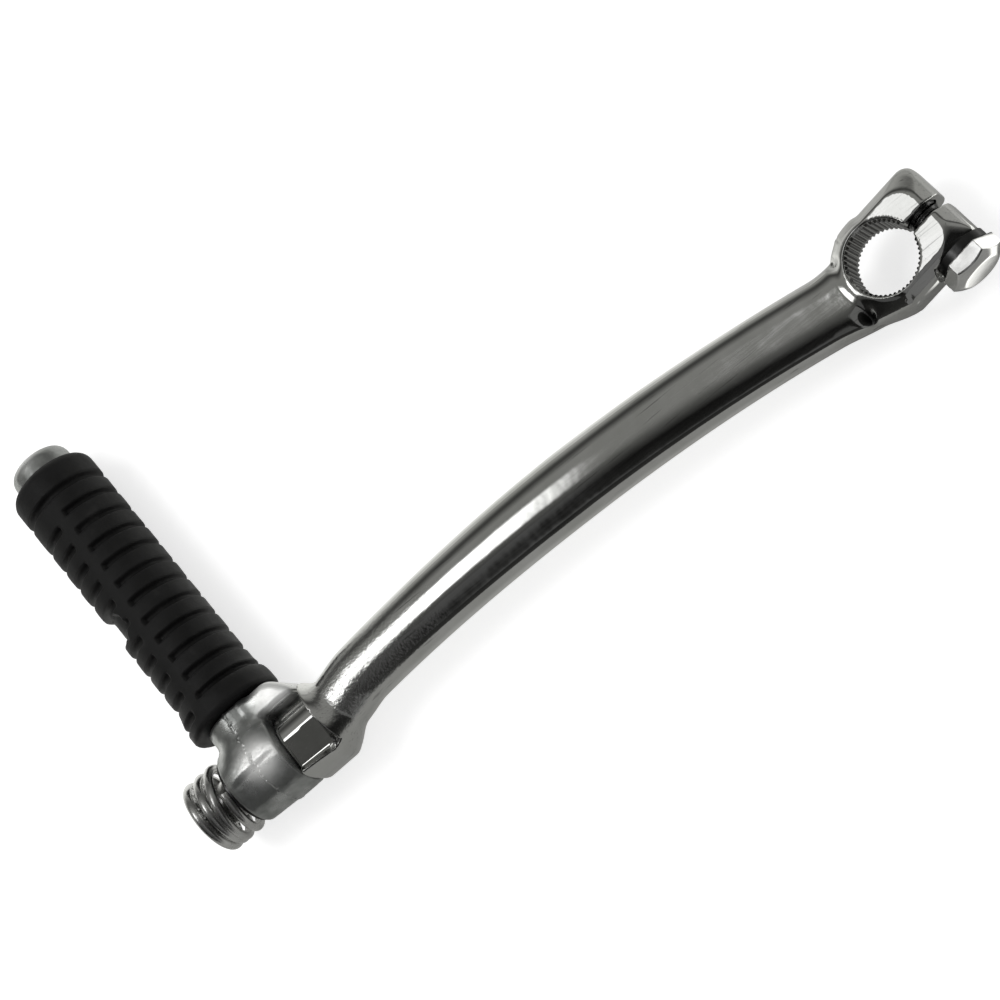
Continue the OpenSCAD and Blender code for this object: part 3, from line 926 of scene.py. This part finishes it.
def closed_mesh(name, points, faces):
    mesh = bpy.data.meshes.new(name)
    mesh.from_pydata([tuple(value * MM for value in point) for point in points], [], faces)
    shell = bmesh.new()
    shell.from_mesh(mesh)
    bmesh.ops.recalc_face_normals(shell, faces=shell.faces)
    shell.to_mesh(mesh)
    shell.free()
    return mesh


def make_tooth():
    points = [(x, y * half, z * tall) for x, half, tall in TOOTH
              for y, z in ((-1, -1), (1, -1), (1, 1), (-1, 1))]
    sides = [(k, (k + 1) % 4, (k + 1) % 4 + 4, k + 4) for k in range(4)]
    return bpy.data.objects.new("tooth", closed_mesh("tooth", points,
                                                     [(0, 3, 2, 1), (4, 5, 6, 7), *sides]))


def grow_serrations():
    tree, size = new_shape("serration_rule", SERRATION_SIZES)
    spots = add_node(tree, "GeometryNodePoints", {"Count": size["Teeth"]})
    index = Field(tree, tree.nodes.new("GeometryNodeInputIndex").outputs[0])
    angle = (index + 0.5) / size["Teeth"] * (2 * math.pi) + HEAD_TURN
    euler = vector_of(tree, 0.0, 0.0, angle)
    turn = add_node(tree, "FunctionNodeEulerToRotation", {"Euler": euler})
    past_slit = index.math("GREATER_THAN", size["Slit Teeth"] - 0.5)
    before_slit = index.math("LESS_THAN", size["Teeth"] - size["Slit Teeth"] - 0.5)
    tooth = add_node(tree, "GeometryNodeObjectInfo", {"Object": make_tooth()})
    repeat = add_node(tree, "GeometryNodeInstanceOnPoints", {
        "Points": spots.outputs[0], "Selection": past_slit * before_slit,
        "Instance": tooth.outputs["Geometry"], "Rotation": turn.outputs[0]})
    return grown_piece("bore_serrations", tree, SERRATION_SIZES, repeat.outputs[0], chrome)


serration_piece = grow_serrations()

# %% [markdown]
# The end washer holds the spring on the pin. It is turned: a profile with a rounded rim goes once
# round the pivot axis, which gives the round rim exactly where a bevel would only come near it.

# %% The end washer
WASHER_NEAR, WASHER_THICK, WASHER_R, WASHER_ROUND = -25.7, 2.4, 9.6, 1.1
RIM_STEPS, AROUND = 12, 96


def washer_profile():
    near, far, half = WASHER_NEAR, WASHER_NEAR - WASHER_THICK, WASHER_THICK / 2
    rim = []
    for k in range(RIM_STEPS + 1):
        angle = math.pi * (k / RIM_STEPS - 0.5)
        rim.append((near - half - half * math.sin(angle),
                    WASHER_R - WASHER_ROUND + WASHER_ROUND * math.cos(angle)))
    return [(near, PIN_HOLE_R), (near, 7.4), (near, 8.6), *rim, (far, 7.9), (far, 7.0),
            (far, PIN_HOLE_R)]


def turned_piece(name, profile, finish):
    points, faces, count = [], [], len(profile)
    for i in range(AROUND):
        c, s = math.cos(2 * math.pi * i / AROUND), math.sin(2 * math.pi * i / AROUND)
        points += [(x, r * c, r * s) for x, r in profile]
        here, there = i * count, (i + 1) % AROUND * count
        faces += [(here + k, here + (k + 1) % count, there + (k + 1) % count, there + k)
                  for k in range(count)]
    mesh = closed_mesh(name, points, faces)
    for face in mesh.polygons:
        face.use_smooth = True
    mesh.materials.append(finish)
    return add_object(name, mesh)


washer_piece = turned_piece("turned_washer", washer_profile(), plated_steel)
to_pivot(washer_piece, Matrix.Identity(4))
print("washer box", [round(v, 4) for v in washer_piece.dimensions])

# %% [markdown]
# Chrome shows the room and not itself. The photograph was read along the arm: the room is black
# on the bolt's side of the arm, grey above it, dark and then pale again towards the grip. Each
# row of ROOM gives an angle from straight up, in degrees towards the grip's side, and how pale
# the room is there. The world repeats these bands for mirror rays, is plain white for the camera
# and lights the rest evenly.

# %% The room that the chrome mirrors
ROOM = [(-180, 0.3), (-92, 0.05), (-80, 0.03), (-60, 0.014), (-20, 0.008), (-8, 0.05), (4, 0.12),
        (16, 0.27), (38, 0.28), (50, 0.12), (58, 0.055), (66, 0.11), (78, 0.33), (95, 0.5),
        (180, 0.5)]
WHITE, EVEN_LIGHT = (1, 1, 1, 1), 0.5


def mix_shader(tree, share, first, second):
    return add_node(tree, "ShaderNodeMixShader", {"Fac": share, 1: first.outputs[0],
                                                  2: second.outputs[0]})


def make_world():
    world = bpy.data.worlds.new("studio")
    bpy.context.scene.world = world
    world.use_nodes = True
    tree = world.node_tree
    tree.nodes.clear()
    _, y, z = axes(tree, add_node(tree, "ShaderNodeTexCoord").outputs["Generated"])
    place = y.math("ARCTAN2", z) / (2 * math.pi) + 0.5
    bands = ramp(tree, place, [(0.5 + angle / 360, (v, v, 0.96 * v)) for angle, v in ROOM])
    room = add_node(tree, "ShaderNodeBackground", {"Color": bands, "Strength": 1.0})
    even = add_node(tree, "ShaderNodeBackground", {"Color": WHITE, "Strength": EVEN_LIGHT})
    white = add_node(tree, "ShaderNodeBackground", {"Color": WHITE, "Strength": 1.0})
    path = add_node(tree, "ShaderNodeLightPath").outputs
    unseen = mix_shader(tree, path["Is Glossy Ray"], even, room)
    seen = mix_shader(tree, path["Is Camera Ray"], unseen, white)
    add_node(tree, "ShaderNodeOutputWorld", {"Surface": seen.outputs[0]})


make_world()
bpy.context.scene.view_settings.view_transform = "Standard"
print("room bands:", len(ROOM))

# %% [markdown]
# One soft lamp gives the shape and the floor shadow. White cards overhead make the reflections
# that the photograph shows: the white stripe on the lower half of the arm, the silver pad of the
# head, and the dim sheen on the bolt's side of the arm and of the head. A card that stands
# upright on that side lights the flanks of the head. The cards fade out at their rims, and only
# mirror rays see them. Each row of CARDS gives the card's corners in millimetres, its strength,
# the width of its fading rims (at the low X end, at the high X end and along both sides) and how
# much it slants.

# %% Lamp and white cards
LAMP_PLACE, LAMP_TARGET, LAMP_SIZE, LAMP_POWER = (-500, 300, 900), (-100, 0, 0), (500, 400), 3.0
CARD_HEIGHT, SIDE_CARD_Y = 920, -1380
CARDS = {
    "stripe_card": ((-800, 70, -290, 440), 3.2, (50, 90, 100), 0.0),
    "pad_card": ((-136, 80, 40, 460), 1.4, (20, 20, 60), 0.0),
    "dim_card": ((-850, -2200, -265, -20), 0.09, (100, 45, 100), 0.18),
    "head_card": ((-200, -2200, 300, -30), 0.17, (30, 50, 100), 0.0),
    "side_card": ((-440, 0, 500, 900), 0.2, (60, 100, 20), 0.0)}


def hang_lamp():
    data = bpy.data.lights.new("top_softbox", "AREA")
    data.shape, data.energy = "RECTANGLE", LAMP_POWER
    data.size, data.size_y = (side * MM for side in LAMP_SIZE)
    lamp = add_object("top_softbox", data)
    lamp.location = Vector(LAMP_PLACE) * MM
    aim = Vector(LAMP_TARGET) - Vector(LAMP_PLACE)
    lamp.rotation_euler = aim.to_track_quat("-Z", "Y").to_euler()
    lamp.visible_glossy = False


def plane(name, x0, y0, x1, y1, z, slant=0.0):
    corners = [(x + slant * y, y, z) for x, y in ((x0, y0), (x1, y0), (x1, y1), (x0, y1))]
    mesh = bpy.data.meshes.new(name)
    mesh.from_pydata([tuple(value * MM for value in corner) for corner in corners], [],
                     [(0, 1, 2, 3)])
    return add_object(name, mesh)


def empty_finish(name):
    finish, tree, _ = new_finish(name)
    tree.nodes.clear()
    return finish, tree


def white_card(name, corners, strength, fade, slant):
    x0, y0, x1, y1 = corners
    finish, tree = empty_finish(name)
    x, y, _ = axes_in_mm(tree)
    x = x - y * slant
    inside = x.step(x0, x0 + fade[0]) * x.step(x1 - fade[1], x1).flip()
    inside = inside * y.step(y0, y0 + fade[2]) * y.step(y1 - fade[2], y1).flip()
    path = add_node(tree, "ShaderNodeLightPath").outputs
    glow = add_node(tree, "ShaderNodeEmission", {"Color": WHITE, "Strength": strength})
    clear = add_node(tree, "ShaderNodeBsdfTransparent")
    card_face = mix_shader(tree, inside * Field(tree, path["Is Glossy Ray"]), clear, glow)
    add_node(tree, "ShaderNodeOutputMaterial", {"Surface": card_face.outputs[0]})
    card = plane(name, *corners, CARD_HEIGHT, slant)
    card.data.materials.append(finish)
    return card


hang_lamp()
cards = {name: white_card(name, *card) for name, card in CARDS.items()}
cards["side_card"].rotation_euler.x = math.radians(90)
cards["side_card"].location.y = SIDE_CARD_Y * MM
print("lamp and", len(cards), "cards ready")

# %% [markdown]
# The floor is matt and keeps the shadow of the lever. A glow lifts it to white for the camera.
# Mirror rays meet it too, and for them it is pale towards the grip and grey on the other side,
# with two pale patches that light the end of the bolt, as the photograph shows.

# %% The floor
FLOOR_Z, FLOOR_HALF = -12.6, 3000
FLOOR_LIGHT, FLOOR_IN_MIRROR = (0.8, 0.8, 0.8, 1), (0.3, 0.3, 0.29, 1)
CAMERA_LIFT, PATCH_GLOW = 0.62, 1.2


def mirrored_floor(x, y):
    pale = y.step(-20, 30) * 0.75 + 0.12 - y.step(30, 80) * 0.4
    pale = pale * (x.step(-45, -10) * -0.6 + 1.0)
    below_bolt = x.step(3, 8) * y.step(-21, -18).flip() * y.step(-36, -32)
    beside_bolt = x.step(38, 44) * y.step(6, 12).flip() * y.step(-20, -10)
    return pale + below_bolt.math("MAXIMUM", beside_bolt) * PATCH_GLOW


def lit(tree, colour, glow):
    matt = add_node(tree, "ShaderNodeBsdfDiffuse", {"Color": colour})
    return add_node(tree, "ShaderNodeAddShader", {0: matt.outputs[0], 1: glow.outputs[0]})


def make_floor_finish():
    finish, tree = empty_finish("pale_floor")
    x, y, _ = axes_in_mm(tree)
    path = add_node(tree, "ShaderNodeLightPath").outputs
    mirror_glow = add_node(tree, "ShaderNodeEmission", {"Color": (1, 1, 0.97, 1),
                                                        "Strength": mirrored_floor(x, y)})
    camera_glow = add_node(tree, "ShaderNodeEmission", {"Color": WHITE, "Strength": CAMERA_LIFT})
    nothing = add_node(tree, "ShaderNodeEmission", {"Strength": 0.0})
    for_camera = mix_shader(tree, path["Is Camera Ray"], nothing, camera_glow)
    in_mirror = Field(tree, path["Is Glossy Ray"]).math(
        "MAXIMUM", Field(tree, path["Is Transmission Ray"]))
    face = mix_shader(tree, in_mirror, lit(tree, FLOOR_LIGHT, for_camera),
                      lit(tree, FLOOR_IN_MIRROR, mirror_glow))
    add_node(tree, "ShaderNodeOutputMaterial", {"Surface": face.outputs[0]})
    return finish


floor = plane("floor", -FLOOR_HALF, -FLOOR_HALF, FLOOR_HALF, FLOOR_HALF, FLOOR_Z)
floor.data.materials.append(make_floor_finish())
print("floor at", FLOOR_Z, "mm")

# %% [markdown]
# The pieces take the places of their solids, and each one follows its body when the pedal folds.
# The two thin washers and the pin stay solids and only get a finish.

# %% Dress and finish
# The two thin washers get the finish with painted shade.
for name, finish in (("lock_washer", painted_shade_steel), ("pivot_pin", plated_steel),
                     ("thrust_washer", painted_shade_steel)):
    mesh = nodes[name].data
    mesh.materials.clear()
    mesh.materials.append(finish)
for piece, node, body, slot in (
        (arm_piece, "lever_arm", "lever", "chrome_arm"),
        (serration_piece, "lever_arm", "lever", "chrome_arm"),
        (bolt_piece, "pinch_bolt", "lever", "zinc_bolt"),
        (spring_piece, "coil_spring", "lever", "spring_steel"),
        (washer_piece, "end_washer", "lever", "spring_steel"),
        (casting_piece, "pedal_casting", "pedal", "cast_pedal"),
        (grip_piece, "rubber_grip", "pedal", "grip_rubber")):
    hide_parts(node)
    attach(piece, body)
